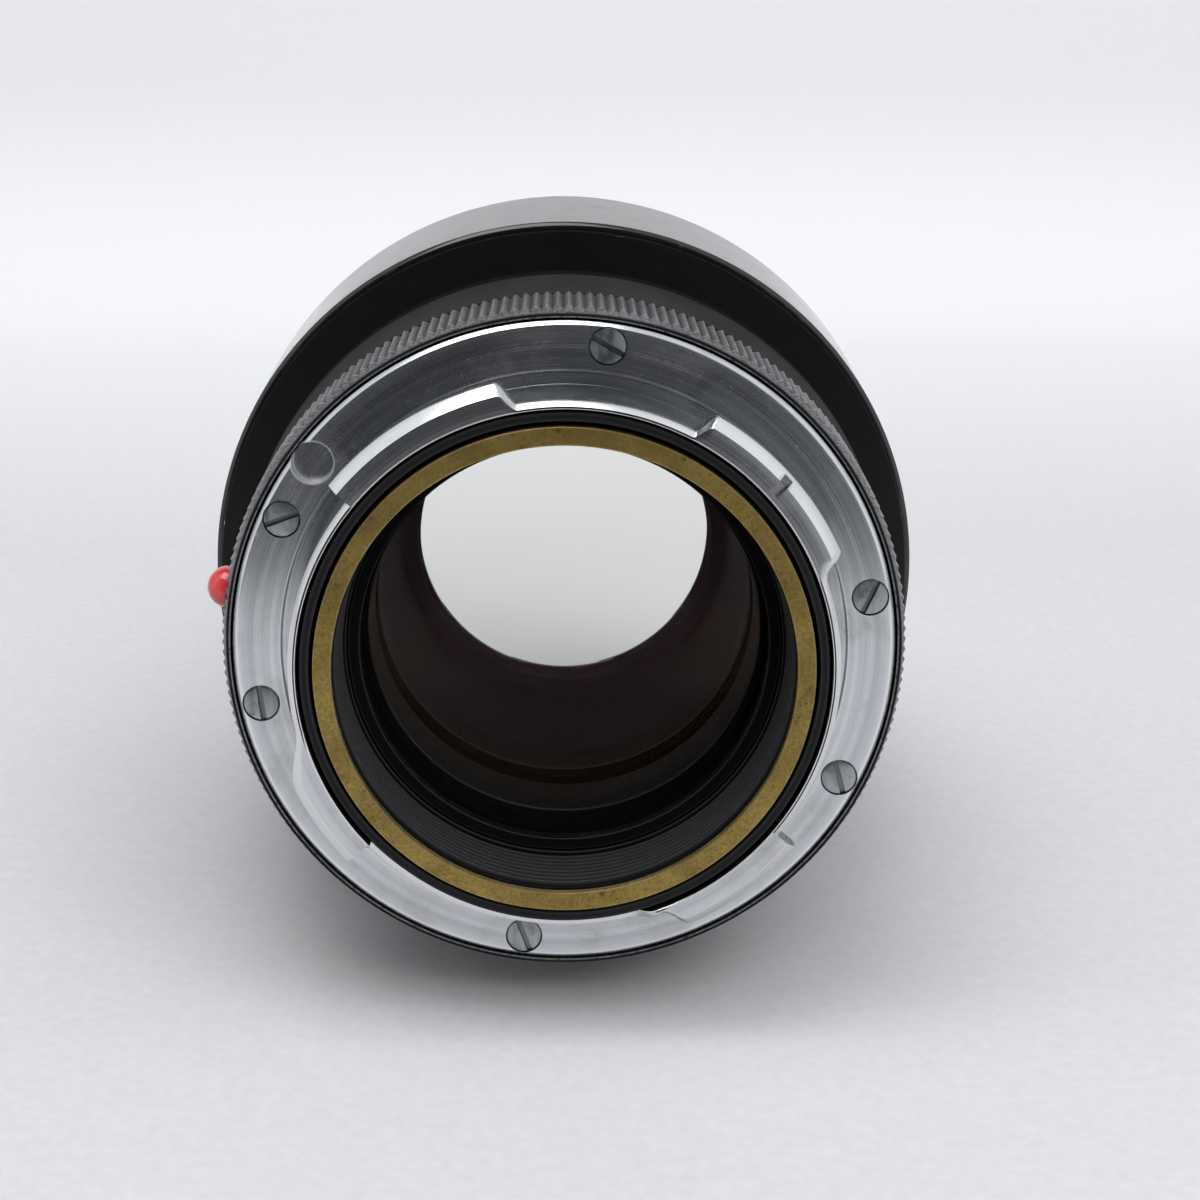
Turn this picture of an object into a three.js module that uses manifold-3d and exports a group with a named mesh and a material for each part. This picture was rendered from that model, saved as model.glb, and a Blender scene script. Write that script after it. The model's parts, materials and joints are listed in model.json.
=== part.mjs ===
// A 90 mm portrait lens for a rangefinder camera, built as the real one comes apart on a bench.
// Millimetres. Y is the optical axis: the bayonet is at the rear (-Y) and the hood at the front (+Y).
// Inside the group, Y = 0 is the rear face of the bayonet flange. Every profile is a list of
// [radius, y] points that goes up the outside and comes back down the inside.
import * as THREE from 'three';
import { mergeVertices, toCreasedNormals } from 'three/addons/utils/BufferGeometryUtils.js';
import Module from 'manifold-3d';

// ---- driving dimensions ----
const OUTER_SIDES = 40; // facets round the pieces that show
const INNER_SIDES = 30; // facets round the pieces inside
const GLASS_SIDES = 24;
const GAP = 0.15; // clearance between nested pieces

const FLANGE_R = 25.1;
const FLANGE_THICK = 1.55;
const FLANGE_BEVEL = 0.35;
const FACE_INNER_R = 21.4; // inner edge of the flat flange face
const TUBE_R = 20.3; // bayonet tube, outside
const TUBE_BORE_R = 19.7;
const TUBE_REAR_Y = -6.4;
const LUG_R = 22.0;
const LUG_FRONT_Y = -4.4;
const LUG_CHAMFER = 0.8;
const SHORT_WALL_Y = -4.7; // rear end of the tube between the two lower lugs

const SCREW_CIRCLE_R = 23.4;
const SCREW_HEAD_R = 1.375;
const SCREW_SHANK_R = 0.75;
const SCREW_END_Y = 4.6;

const KNURL_R = 26.05; // over the tips of the knurl
const MOUNT_RING_FRONT_Y = 16.6;
const BEAD_R = 1.6; // red bead on the knurled ring
const BEAD_Y = 3.6;
const BEAD_ANGLE = 170.8;
const SEAT_Y = 6.0; // inner wall of the mount ring that carries the barrel

const BARREL_R = 24.9; // fixed barrel that the focusing ring turns on
const BARREL_BORE_R = 23.6;
const FOCUS_REAR_Y = 24.2;
const FOCUS_R = 29.8;
const GRIP_START_Y = 42;
const FOCUS_FRONT_Y = 52;

const CAM_OUTER_R = 18.44; // bare brass ring that the camera's roller rests on
const CAM_INNER_R = 17.07;
const CAM_WALL_R = 17.75;
const THREAD_R = 22.4; // the sliding pieces' threads

const CELL_R = 17.3; // rear lens cell
const REAR_GLASS_R = 15.85;
const STOP_R = 12.9; // full aperture
const IRIS_Y = 37.2; // first blade's rear face
const BLADE_COUNT = 10;
const BLADE_PITCH = 0.3;
const BLADE_THICK = 0.14;
const BLADE_SPAN = 74; // degrees of arc that one blade covers
const BLADE_OUTER_R = 19; // wide enough that the closed blades leave no slit at the rim

const APERTURE_RING_REAR_Y = 53.2;
const APERTURE_RING_FRONT_Y = 59.9;
const HOOD_GUIDE_R = 24.75;
const BARREL_FRONT_Y = 74;
const HOOD_REAR_Y = 60.8;
const HOOD_FRONT_Y = 77;
const HOOD_R = 25.9;
const HOOD_BORE_R = 25;

const CENTRE_Y = (TUBE_REAR_Y + HOOD_FRONT_Y) / 2;

const wasm = await Module();
wasm.setup();

// ---- shapes ----
const radians = THREE.MathUtils.degToRad;

// a point on a circle about the optical axis, with degrees from +X towards +Z
function around(radius, degrees) {
  const t = radians(degrees);
  return [radius * Math.cos(t), radius * Math.sin(t)];
}

// a ring or hollow piece: the profile closes on itself
function turned(profile, sides = OUTER_SIDES) {
  const points = [...profile, profile[0]].map(([r, y]) => new THREE.Vector2(r, y));
  return new THREE.LatheGeometry(points, sides);
}

// a piece that is solid at its centre: the profile starts and ends on the axis
function turnedSolid(profile, sides) {
  return new THREE.LatheGeometry(profile.map(([r, y]) => new THREE.Vector2(r, y)), sides);
}

function tube(innerR, outerR, rearY, frontY, sides = INNER_SIDES) {
  return turned([[outerR, rearY], [outerR, frontY], [innerR, frontY], [innerR, rearY]], sides);
}

function moved(geometry, x, y, z) {
  return geometry.translate(x, y, z);
}

// a round pin or drill along the optical axis, standing at a radius and angle
function pin(radius, rearY, frontY, circleR, degrees, sides = 16) {
  const [x, z] = around(circleR, degrees);
  const length = frontY - rearY;
  return moved(new THREE.CylinderGeometry(radius, radius, length, sides), x, rearY + length / 2, z);
}

// a flat plate across the optical axis, from an outline in X and Z
function plate(outline, rearY, thickness) {
  const shape = new THREE.Shape(outline.map(([x, z]) => new THREE.Vector2(x, z)));
  const geometry = new THREE.ExtrudeGeometry(shape, { depth: thickness, bevelEnabled: false });
  return moved(geometry.rotateX(Math.PI / 2), 0, rearY + thickness, 0);
}

// a block standing at a radius and angle, with its height along that radius
function blockAt(width, length, height, circleR, y, degrees) {
  const block = new THREE.BoxGeometry(height, length, width).translate(circleR, y, 0);
  return block.rotateY(-radians(degrees));
}

// the part of a ring between two angles, where each end can slant from its inner to its outer angle
function sector(innerR, outerR, [innerStart, outerStart], [outerEnd, innerEnd], rearY, thickness) {
  const steps = 6;
  const outline = [around(innerR, innerStart)];
  for (let i = 0; i <= steps; i++) {
    outline.push(around(outerR, outerStart + ((outerEnd - outerStart) * i) / steps));
  }
  for (let i = 0; i < steps; i++) {
    outline.push(around(innerR, innerEnd + ((innerStart - innerEnd) * i) / steps));
  }
  return plate(outline, rearY, thickness);
}

// ---- joining and cutting ----
function toManifold(geometry) {
  const bare = geometry.clone();
  bare.deleteAttribute('normal');
  bare.deleteAttribute('uv');
  const merged = mergeVertices(bare, 1e-4);
  const mesh = new wasm.Mesh({
    numProp: 3,
    vertProperties: new Float32Array(merged.attributes.position.array),
    triVerts: new Uint32Array(merged.index.array),
  });
  return new wasm.Manifold(mesh);
}

function fromManifold(solid) {
  const mesh = solid.getMesh();
  const geometry = new THREE.BufferGeometry();
  geometry.setAttribute('position', new THREE.BufferAttribute(mesh.vertProperties, 3));
  geometry.setIndex(new THREE.BufferAttribute(mesh.triVerts, 1));
  return geometry;
}

function cut(geometry, tools) {
  const solid = tools.reduce((left, tool) => left.subtract(toManifold(tool)), toManifold(geometry));
  return fromManifold(solid);
}

function join(geometries) {
  const [first, ...rest] = geometries.map(toManifold);
  return fromManifold(rest.reduce((sum, next) => sum.add(next), first));
}

function common(a, b) {
  return fromManifold(toManifold(a).intersect(toManifold(b)));
}

// ---- materials ----
function metal(colour, roughness) {
  return new THREE.MeshStandardMaterial({ color: colour, roughness, metalness: 1 });
}

function coated(colour, roughness) {
  return new THREE.MeshStandardMaterial({ color: colour, roughness, metalness: 0.1 });
}

const satinChrome = metal(0xa9abad, 0.32);
const screwSteel = metal(0x7f8284, 0.4);
const bareBrass = metal(0x8a7140, 0.45);
const threadBrass = metal(0x9c8148, 0.5);
const bladeSteel = metal(0x2b2c2e, 0.45);
const blackEnamel = coated(0x1a1a1b, 0.35);
const wornEnamel = coated(0x2a2b2d, 0.45);
const mattBlack = coated(0x101011, 0.85);
const redEnamel = coated(0xb02a2a, 0.3);
const coatedGlass = new THREE.MeshStandardMaterial({
  color: 0x8f96a0,
  roughness: 0.05,
  metalness: 0,
  transparent: true,
  opacity: 0.35,
});

// ---- the model ----
const lens = new THREE.Group();
const body = new THREE.Group();
body.position.y = -CENTRE_Y;
lens.add(body);

function piece(name, geometry, material) {
  const mesh = new THREE.Mesh(toCreasedNormals(geometry, radians(30)), material);
  mesh.name = name;
  body.add(mesh);
  return mesh;
}

// -- rear mount, fixed --
const SCREWS = [
  // [place on the flange, direction of the slot]
  [82, -30],
  [154, 20],
  [190, -83],
  [262, -70],
  [334, -75],
  [10, 65],
];

const LUGS = [
  // inner and outer angle where the lug starts, outer and inner angle where it ends
  { start: [99.5, 103], end: [140.4, 140.4] },
  { start: [20, 24.5], end: [59.6, 62.6] },
  { start: [291.5, 295.5], end: [321.5, 321.5] },
  { start: [192, 205], end: [222, 222] },
];

function bayonetFlange() {
  const turnedFlange = turned([
    [FLANGE_R, FLANGE_BEVEL],
    [FLANGE_R, FLANGE_THICK],
    [21.2, FLANGE_THICK],
    [21.2, 3.2],
    [TUBE_BORE_R, 3.2],
    [TUBE_BORE_R, TUBE_REAR_Y],
    [TUBE_R, TUBE_REAR_Y],
    [TUBE_R, 0.5],
    [FACE_INNER_R, 0.5],
    [FACE_INNER_R, 0],
    [FLANGE_R - FLANGE_BEVEL, 0],
  ]);
  const lugRing = turned([
    [LUG_R, TUBE_REAR_Y + LUG_CHAMFER],
    [LUG_R, LUG_FRONT_Y],
    [TUBE_R - 0.2, LUG_FRONT_Y],
    [TUBE_R - 0.2, TUBE_REAR_Y],
    [LUG_R - LUG_CHAMFER, TUBE_REAR_Y],
  ]);
  const lugs = LUGS.map(({ start, end }) =>
    common(lugRing, sector(TUBE_R - 0.4, LUG_R + 1, start, end, TUBE_REAR_Y - 1, 4)),
  );
  const cutBack = SHORT_WALL_Y - TUBE_REAR_Y;
  const shortWall = sector(
    TUBE_BORE_R - 1.2, TUBE_R + 0.5, [222.5, 222.5], [287, 287], TUBE_REAR_Y - 1, cutBack + 1,
  );
  const notch = blockAt(0.8, 1, 2.4, LUG_R - 0.6, TUBE_REAR_Y, 42);
  const lockRecess = pin(1.575, -1, 1.2, 23.62, 142, 24);
  const screwSeats = SCREWS.map(([angle]) => pin(SCREW_HEAD_R + 0.1, -1, 0.95, SCREW_CIRCLE_R, angle, 20));
  const screwHoles = SCREWS.map(([angle]) => pin(SCREW_SHANK_R + 0.12, 0.5, 2, SCREW_CIRCLE_R, angle, 12));
  const tools = [shortWall, notch, lockRecess, ...screwSeats, ...screwHoles];
  return cut(join([turnedFlange, ...lugs]), tools);
}

function flangeScrew(place, slotAngle) {
  const blank = turnedSolid(
    [
      [0, 0.02],
      [SCREW_HEAD_R - 0.08, 0.02],
      [SCREW_HEAD_R, 0.1],
      [SCREW_HEAD_R, 0.85],
      [SCREW_SHANK_R, 0.85],
      [SCREW_SHANK_R, SCREW_END_Y],
      [0, SCREW_END_Y],
    ],
    10,
  );
  const slot = new THREE.BoxGeometry(4, 0.8, 0.5).rotateY(-radians(slotAngle));
  const [x, z] = around(SCREW_CIRCLE_R, place);
  return moved(cut(blank, [slot]), x, 0, z);
}

function mountRing() {
  const ring = turned([
    [25.55, 0.25],
    [KNURL_R, 1.5],
    [KNURL_R, 8.5],
    [25.75, 8.7],
    [26.27, 16.3],
    [26.1, MOUNT_RING_FRONT_Y],
    [BARREL_R + GAP, MOUNT_RING_FRONT_Y],
    [BARREL_R + GAP, SEAT_Y],
    [21.35, SEAT_Y],
    [21.35, 1.6],
    [FLANGE_R + GAP, 1.6],
    [FLANGE_R + GAP, 0.25],
  ]);
  const holes = SCREWS.map(([angle]) => pin(SCREW_SHANK_R + 0.12, 1, 5, SCREW_CIRCLE_R, angle, 10));
  const beadSeat = new THREE.CylinderGeometry(BEAD_R + 0.15, BEAD_R + 0.15, 2.4, 14)
    .rotateZ(-Math.PI / 2)
    .translate(KNURL_R, BEAD_Y, 0)
    .rotateY(-radians(BEAD_ANGLE));
  return cut(ring, [...holes, beadSeat]);
}

// the red bead that lines the lens up with the camera; its inner side is cut away
function indexBead() {
  const [x, z] = around(KNURL_R, BEAD_ANGLE);
  const ball = moved(new THREE.SphereGeometry(BEAD_R, 12, 8), x, BEAD_Y, z);
  const cutaway = blockAt(4, 4, 2, KNURL_R - 2, BEAD_Y, BEAD_ANGLE);
  return cut(ball, [cutaway]);
}

// a black sleeve inside the bayonet tube, clamped behind the flange
function rearSleeve() {
  return turned(
    [
      [19.45, -6.0],
      [19.45, 3.35],
      [21.2, 3.35],
      [21.2, 5.6],
      [18.75, 5.6],
      [18.75, -6.0],
    ],
    INNER_SIDES,
  );
}

function depthScaleRing() {
  return turned([
    [25.9, 17],
    [26.3, 18.4],
    [28.9, 23],
    [28.9, 23.9],
    [BARREL_R + GAP, 23.9],
    [BARREL_R + GAP, 17],
  ]);
}

const KEY_ANGLE = 270;
const KEY_WIDTH = 3;
const KEY_SLOT_WIDTH = 3.5;

// the bar that keeps the sliding pieces from turning, with a foot on the mount ring
function guideKey() {
  const bar = blockAt(KEY_WIDTH, 34.4, 1.2, 21.6, 23.3, KEY_ANGLE);
  const foot = blockAt(KEY_WIDTH + 3, 1.9, 2.2, 22.1, 7.05, KEY_ANGLE);
  return join([bar, foot]);
}

piece('bayonet_flange', bayonetFlange(), satinChrome);
SCREWS.forEach(([place, slotAngle], i) => {
  piece(`flange_screw_${i + 1}`, flangeScrew(place, slotAngle), screwSteel);
});
piece('mount_ring', mountRing(), wornEnamel);
piece('index_bead', indexBead(), redEnamel);
piece('rear_sleeve', rearSleeve(), mattBlack);
piece('main_barrel', tube(BARREL_BORE_R, BARREL_R, SEAT_Y + 0.1, 30), threadBrass);
piece('depth_scale_ring', depthScaleRing(), blackEnamel);
piece('guide_key', guideKey(), screwSteel);

// -- focusing ring and what turns with it --
function focusRing() {
  return turned([
    [29.2, FOCUS_REAR_Y],
    [29.5, FOCUS_REAR_Y + 0.3],
    [FOCUS_R, GRIP_START_Y - 0.4],
    [29.5, GRIP_START_Y],
    [28.95, GRIP_START_Y + 0.4],
    [28.95, 50.4],
    [28.2, FOCUS_FRONT_Y],
    [25.8, FOCUS_FRONT_Y],
    [25.8, 43.7],
    [BARREL_R + GAP, 43.7],
    [BARREL_R + GAP, FOCUS_REAR_Y],
  ]);
}

piece('focus_ring', focusRing(), blackEnamel);
piece('drive_helicoid', tube(THREAD_R + GAP, BARREL_R, 30.3, 43.5), threadBrass);
piece('cam_drive_tube', tube(THREAD_R + GAP, 23.35, 8.6, 30.1), threadBrass);

// -- rangefinder cam ring and the ribbed baffle inside it --
function rangefinderCamRing() {
  const ring = turned([
    [CAM_OUTER_R, TUBE_REAR_Y],
    [CAM_OUTER_R, 9],
    [THREAD_R, 9],
    [THREAD_R, 12.5],
    [CAM_WALL_R, 12.5],
    [CAM_WALL_R, -5.7],
    [CAM_INNER_R, -5.7],
    [CAM_INNER_R, TUBE_REAR_Y],
  ]);
  const keyway = blockAt(KEY_SLOT_WIDTH, 5, 3, 22.1, 10.75, KEY_ANGLE);
  return cut(ring, [keyway]);
}

function rearBaffle() {
  return turned(
    [
      [17.6, -5.5],
      [17.6, 0.6],
      [16.8, 0.6],
      [17.0, -5.5],
    ],
    INNER_SIDES,
  );
}

piece('rangefinder_cam_ring', rangefinderCamRing(), bareBrass);
piece('rear_baffle', rearBaffle(), mattBlack);

// -- the optical head, which slides forward to focus --
function headCarrier() {
  const keyway = blockAt(KEY_SLOT_WIDTH, 23.5, 4, 21.6, 30, KEY_ANGLE);
  return cut(tube(20.9, THREAD_R - GAP, 18.5, 43.9), [keyway]);
}

function rearCell() {
  return turned([
    [CELL_R, 1],
    [CELL_R, 18],
    [20.7, 18.8],
    [20.7, 36],
    [14.3, 36],
    [15.46, 20.3],
    [16, 20],
    [16, 2.5],
    [16.6, 2.5],
    [16.6, 1],
  ], INNER_SIDES);
}

// a lens element with a spherical rear and front: a sag is positive where the surface bulges forward
function element(radius, rearY, frontY, rearSag, frontSag) {
  const surface = (edgeY, sag, steps, index) => {
    const r = (radius * index) / steps;
    return [r, edgeY + sag * (1 - (r / radius) ** 2)];
  };
  const steps = 2;
  const profile = [];
  for (let i = 0; i <= steps; i++) profile.push(surface(rearY, rearSag, steps, i));
  for (let i = steps; i >= 0; i--) profile.push(surface(frontY, frontSag, steps, i));
  return turnedSolid(profile, GLASS_SIDES);
}

function irisHousing() {
  return turned(
    [
      [20.7, 36.2],
      [20.7, 42.6],
      [20.05, 42.6],
      [20.05, 36.9],
      [STOP_R, 36.9],
      [STOP_R + 0.3, 36.2],
    ],
    INNER_SIDES,
  );
}

function frontCell() {
  return turned(
    [
      [20.7, 43],
      [20.7, 47.2],
      [THREAD_R - GAP, 47.2],
      [THREAD_R - GAP, 65.8],
      [21.85, 65.8],
      [21.85, 57.6],
      [19.1, 57.4],
      [18.8, 49.4],
      [16.95, 49.2],
      [16.95, 44.2],
      [15, 44],
      [14.6, 43],
    ],
    INNER_SIDES,
  );
}

const CLICK_ANGLE = 90;
const CLICK_Y = 56.6;

// the outer barrel of the head: it carries the aperture ring, the filter thread and the hood
function headBarrel() {
  const barrel = turned([
    [25.5, 44.2],
    [25.5, 52.5],
    [26.6, 52.5],
    [26.6, 53],
    [25.5, 53],
    [25.5, 60.2],
    [HOOD_GUIDE_R, 60.4],
    [HOOD_GUIDE_R, BARREL_FRONT_Y],
    [23.9, BARREL_FRONT_Y],
    [23.9, 67],
    [THREAD_R, 66.2],
    [THREAD_R, 47],
    [20.9, 47],
    [20.9, 44.2],
  ]);
  const clickBore = new THREE.CylinderGeometry(0.9, 0.9, 3, 10).rotateX(Math.PI / 2);
  return cut(barrel, [moved(clickBore, 0, CLICK_Y, 24.6)]);
}

// the spring under the click ball, one closed coil of round wire
function clickSpring() {
  class Coil extends THREE.Curve {
    getPoint(t, target = new THREE.Vector3()) {
      const turns = 2;
      const a = 2 * Math.PI * turns * t;
      return target.set(0.55 * Math.cos(a), 0.55 * Math.sin(a), 23.4 + 0.5 * t);
    }
  }
  const section = new THREE.Shape().absarc(0, 0, 0.1, 0, 2 * Math.PI);
  const coil = new THREE.ExtrudeGeometry(section, { steps: 16, curveSegments: 2, extrudePath: new Coil() });
  return moved(coil, 0, CLICK_Y, 0);
}

function clickBall() {
  const [x, z] = around(24.85, CLICK_ANGLE);
  return moved(new THREE.SphereGeometry(0.72, 10, 7), x, CLICK_Y, z);
}

function frontTrimRing() {
  return turned([
    [23.6, 67.4],
    [23.6, 68.2],
    [21.3, 66.8],
    [21.3, 66.3],
    [22.3, 66.3],
  ]);
}

piece('head_carrier', headCarrier(), threadBrass);
piece('rear_cell', rearCell(), mattBlack);
piece('rear_retaining_ring', tube(15.6, 16.45, 1.25, 2.4), mattBlack);
piece('rear_element', element(REAR_GLASS_R, 2.7, 6.6, -0.7, 1.6), coatedGlass);
piece('rear_spacer', tube(15.2, REAR_GLASS_R, 6.8, 12.8), mattBlack);
piece('middle_element', element(REAR_GLASS_R, 13, 16.6, -1.2, 0.9), coatedGlass);
piece('inner_spacer', tube(15.2, REAR_GLASS_R, 16.8, 19.8), mattBlack);
piece('iris_housing', irisHousing(), mattBlack);
piece('front_cell', frontCell(), mattBlack);
piece('negative_element', element(16.8, 44.4, 48.8, 2, 2.6), coatedGlass);
piece('second_element', element(18.6, 49.6, 54.2, 2.6, 3.4), coatedGlass);
piece('front_element', element(21.7, 58.4, 63, 1.4, 4), coatedGlass);
piece('front_retaining_ring', tube(21, 21.7, 63.45, 65.6), mattBlack);
piece('front_trim_ring', frontTrimRing(), blackEnamel);
piece('head_barrel', headBarrel(), blackEnamel);
piece('click_spring', clickSpring(), screwSteel);
piece('click_ball', clickBall(), screwSteel);

// -- aperture ring, the iris drive ring that turns with it, and the blades --
function apertureRing() {
  return turned([
    [27.2, APERTURE_RING_REAR_Y],
    [27.8, 53.8],
    [27.8, 57],
    [27.2, 57.4],
    [26.6, APERTURE_RING_FRONT_Y],
    [25.7, APERTURE_RING_FRONT_Y],
    [25.7, APERTURE_RING_REAR_Y],
  ]);
}

function irisDriveRing() {
  const slots = Array.from({ length: BLADE_COUNT }, (_, i) =>
    blockAt(0.9, 3, 2.4, 17.6, 41.1, (360 / BLADE_COUNT) * i),
  );
  return cut(tube(15.6, 19.85, 40.75, 41.6), slots);
}

// a crescent that lies round the full aperture and swings in about the pivot at its first end
function irisBlade(index) {
  const start = (360 / BLADE_COUNT) * index;
  const innerR = STOP_R + 0.15;
  const steps = 5;
  const outline = [];
  for (let i = 0; i <= steps; i++) {
    outline.push(around(BLADE_OUTER_R, start - 4 + ((BLADE_SPAN + 4) * i) / steps));
  }
  for (let i = steps; i >= 0; i--) {
    outline.push(around(innerR, start - 4 + ((BLADE_SPAN + 4) * i) / steps));
  }
  return plate(outline, IRIS_Y + BLADE_PITCH * index, BLADE_THICK);
}

piece('aperture_ring', apertureRing(), blackEnamel);
piece('iris_drive_ring', irisDriveRing(), threadBrass);
for (let i = 0; i < BLADE_COUNT; i++) {
  piece(`iris_blade_${i + 1}`, irisBlade(i), bladeSteel);
}

// -- telescopic hood --
function hoodTube() {
  return turned([
    [25.6, HOOD_REAR_Y],
    [HOOD_R, HOOD_REAR_Y + 0.3],
    [HOOD_R, 74.6],
    [HOOD_BORE_R, 74.6],
    [HOOD_BORE_R, HOOD_REAR_Y],
  ]);
}

function hoodRim() {
  return turned([
    [HOOD_R, 74.65],
    [HOOD_R, HOOD_FRONT_Y - 0.4],
    [25.5, HOOD_FRONT_Y],
    [24.9, HOOD_FRONT_Y],
    [24.7, HOOD_FRONT_Y - 0.3],
    [24.7, 74.65],
  ]);
}

piece('hood_tube', hoodTube(), blackEnamel);
piece('hood_rim', hoodRim(), blackEnamel);

export default lens;
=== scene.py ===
"""Looks for the portrait lens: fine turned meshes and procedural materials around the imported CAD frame.

Metres, in the CAD's own frame. The optical axis is Y, with the bayonet at the rear (-Y). Angles about the
axis are in degrees from +X towards +Z. Most pieces take their outline from the CAD node that they stand for.
"""

import json
import math

import bmesh
import bpy
import numpy as np
from mathutils import Matrix, Vector

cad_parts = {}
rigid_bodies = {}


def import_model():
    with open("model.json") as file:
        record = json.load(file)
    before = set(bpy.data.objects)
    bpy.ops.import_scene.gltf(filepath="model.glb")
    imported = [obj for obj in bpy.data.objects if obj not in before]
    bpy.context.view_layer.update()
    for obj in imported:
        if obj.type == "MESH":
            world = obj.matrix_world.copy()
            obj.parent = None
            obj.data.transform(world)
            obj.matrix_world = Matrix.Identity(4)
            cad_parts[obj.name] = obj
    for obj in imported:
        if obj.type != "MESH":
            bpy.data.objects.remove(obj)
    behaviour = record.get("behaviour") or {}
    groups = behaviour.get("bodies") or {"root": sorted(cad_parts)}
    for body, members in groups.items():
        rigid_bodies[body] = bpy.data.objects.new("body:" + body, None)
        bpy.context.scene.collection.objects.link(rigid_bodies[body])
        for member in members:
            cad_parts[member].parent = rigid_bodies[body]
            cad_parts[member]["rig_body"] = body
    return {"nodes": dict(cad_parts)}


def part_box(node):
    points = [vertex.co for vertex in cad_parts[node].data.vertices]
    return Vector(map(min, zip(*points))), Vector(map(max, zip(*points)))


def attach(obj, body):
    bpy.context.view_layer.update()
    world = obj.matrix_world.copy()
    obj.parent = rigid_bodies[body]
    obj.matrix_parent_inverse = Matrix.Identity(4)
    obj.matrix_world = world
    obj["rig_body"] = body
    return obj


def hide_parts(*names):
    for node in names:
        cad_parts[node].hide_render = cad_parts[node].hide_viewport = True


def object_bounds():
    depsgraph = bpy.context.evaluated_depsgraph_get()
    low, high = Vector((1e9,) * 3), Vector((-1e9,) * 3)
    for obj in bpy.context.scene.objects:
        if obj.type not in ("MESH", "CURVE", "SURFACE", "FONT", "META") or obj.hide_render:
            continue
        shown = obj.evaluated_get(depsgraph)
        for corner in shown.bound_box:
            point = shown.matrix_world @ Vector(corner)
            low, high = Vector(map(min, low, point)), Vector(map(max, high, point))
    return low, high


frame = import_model()
cad_low, cad_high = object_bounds()
nodes = frame["nodes"]
scene = bpy.context.scene

MM = 0.001
TURNS = 256  # segments round a smooth piece
CORNER_STEPS = 3  # short edges round a softened corner
INDEX_ANGLE = 171.0  # the bead and the scales' zero line share this side of the lens
FOCUS_TURN, APERTURE_TURN = 165.0, 70.0  # degrees from the first mark on each scale to the last
FEET_PER_METRE = 3.28
FLANGE_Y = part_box("bayonet_flange")[0].y + 6.4 * MM  # rear face of the flange
PLUG_CIRCLE, PLUG_R, PLUG_PLACE = 23.62 * MM, 1.575 * MM, 142  # the round plug let into the flange


# ---- outlines from the CAD ----
def coordinates(node):
    mesh = nodes[node].data
    points = np.zeros(len(mesh.vertices) * 3)
    mesh.vertices.foreach_get("co", points)
    return points.reshape(-1, 3)


def section(node, degrees=90.02):
    """The outline of a turned CAD node, as (radius, y) points that go up the outside and down the inside."""
    mesh = nodes[node].data
    mesh.calc_loop_triangles()
    points = coordinates(node)
    t = math.radians(degrees)
    out = np.array([math.cos(t), 0.0, math.sin(t)])
    side = np.array([-math.sin(t), 0.0, math.cos(t)])
    height = points @ side
    links = {}
    for triangle in mesh.loop_triangles:
        ends = []
        for a, b in zip(triangle.vertices, [*triangle.vertices[1:], triangle.vertices[0]]):
            if (height[a] > 0) != (height[b] > 0):
                a, b = min(a, b), max(a, b)
                p = points[a] + (points[b] - points[a]) * (height[a] / (height[a] - height[b]))
                ends.append((round(float(p @ out), 6), round(float(p[1]), 6)))
        if len(ends) == 2 and ends[0] != ends[1] and min(ends[0][0], ends[1][0]) > 0:
            links.setdefault(ends[0], set()).add(ends[1])
            links.setdefault(ends[1], set()).add(ends[0])
    start = max(links, key=lambda p: (p[0], -p[1]))
    loop, last = [start], None
    while True:
        onward = [p for p in links[loop[-1]] if p != last]
        if not onward or (len(loop) > 2 and start in onward):
            break
        last = loop[-1]
        loop.append(onward[0])
        if len(loop) > len(links):
            break
    kept = []
    for i, p in enumerate(loop):
        a, b = loop[i - 1], loop[(i + 1) % len(loop)]
        turn = (p[0] - a[0]) * (b[1] - p[1]) - (p[1] - a[1]) * (b[0] - p[0])
        size = math.dist(a, p) * math.dist(p, b)
        if size > 0 and abs(turn) / size > 0.01:
            kept.append(p)
    area = sum(a[0] * b[1] - b[0] * a[1] for a, b in zip(kept, kept[1:] + kept[:1]))
    return kept if area > 0 else kept[::-1]


def softened(loop, size=0.12 * MM):
    """The outline with each corner rounded, and for each point how much of an edge it is, from 0 to 1."""
    points, edges = [], []
    for i, p in enumerate(loop):
        p = Vector(p)
        a = Vector(loop[i - 1]) - p
        b = Vector(loop[(i + 1) % len(loop)]) - p
        outward = a.x * b.y - a.y * b.x < 0
        e = min(size, 0.22 * a.length, 0.22 * b.length)
        a, b = a.normalized(), b.normalized()
        start, end = p + a * e, p + b * e
        points.append(p + a * 2 * e)
        edges.append(0.0)
        for s in range(CORNER_STEPS + 1):
            t = s / CORNER_STEPS
            points.append(start.lerp(p, t).lerp(p.lerp(end, t), t))
            edges.append(1.0 if outward else 0.0)
        points.append(p + b * 2 * e)
        edges.append(0.0)
    return [(p.x, p.y) for p in points], edges


def divided(points, edges, longest):
    """The same outline with its long straight stretches cut into shorter ones."""
    new_points, new_edges = [], []
    for i, (p, e) in enumerate(zip(points, edges)):
        q, f = points[(i + 1) % len(points)], edges[(i + 1) % len(points)]
        n = max(1, math.ceil(math.dist(p, q) / longest))
        for s in range(n):
            t = s / n
            new_points.append((p[0] + (q[0] - p[0]) * t, p[1] + (q[1] - p[1]) * t))
            new_edges.append(e + (f - e) * t)
    return new_points, new_edges


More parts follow.
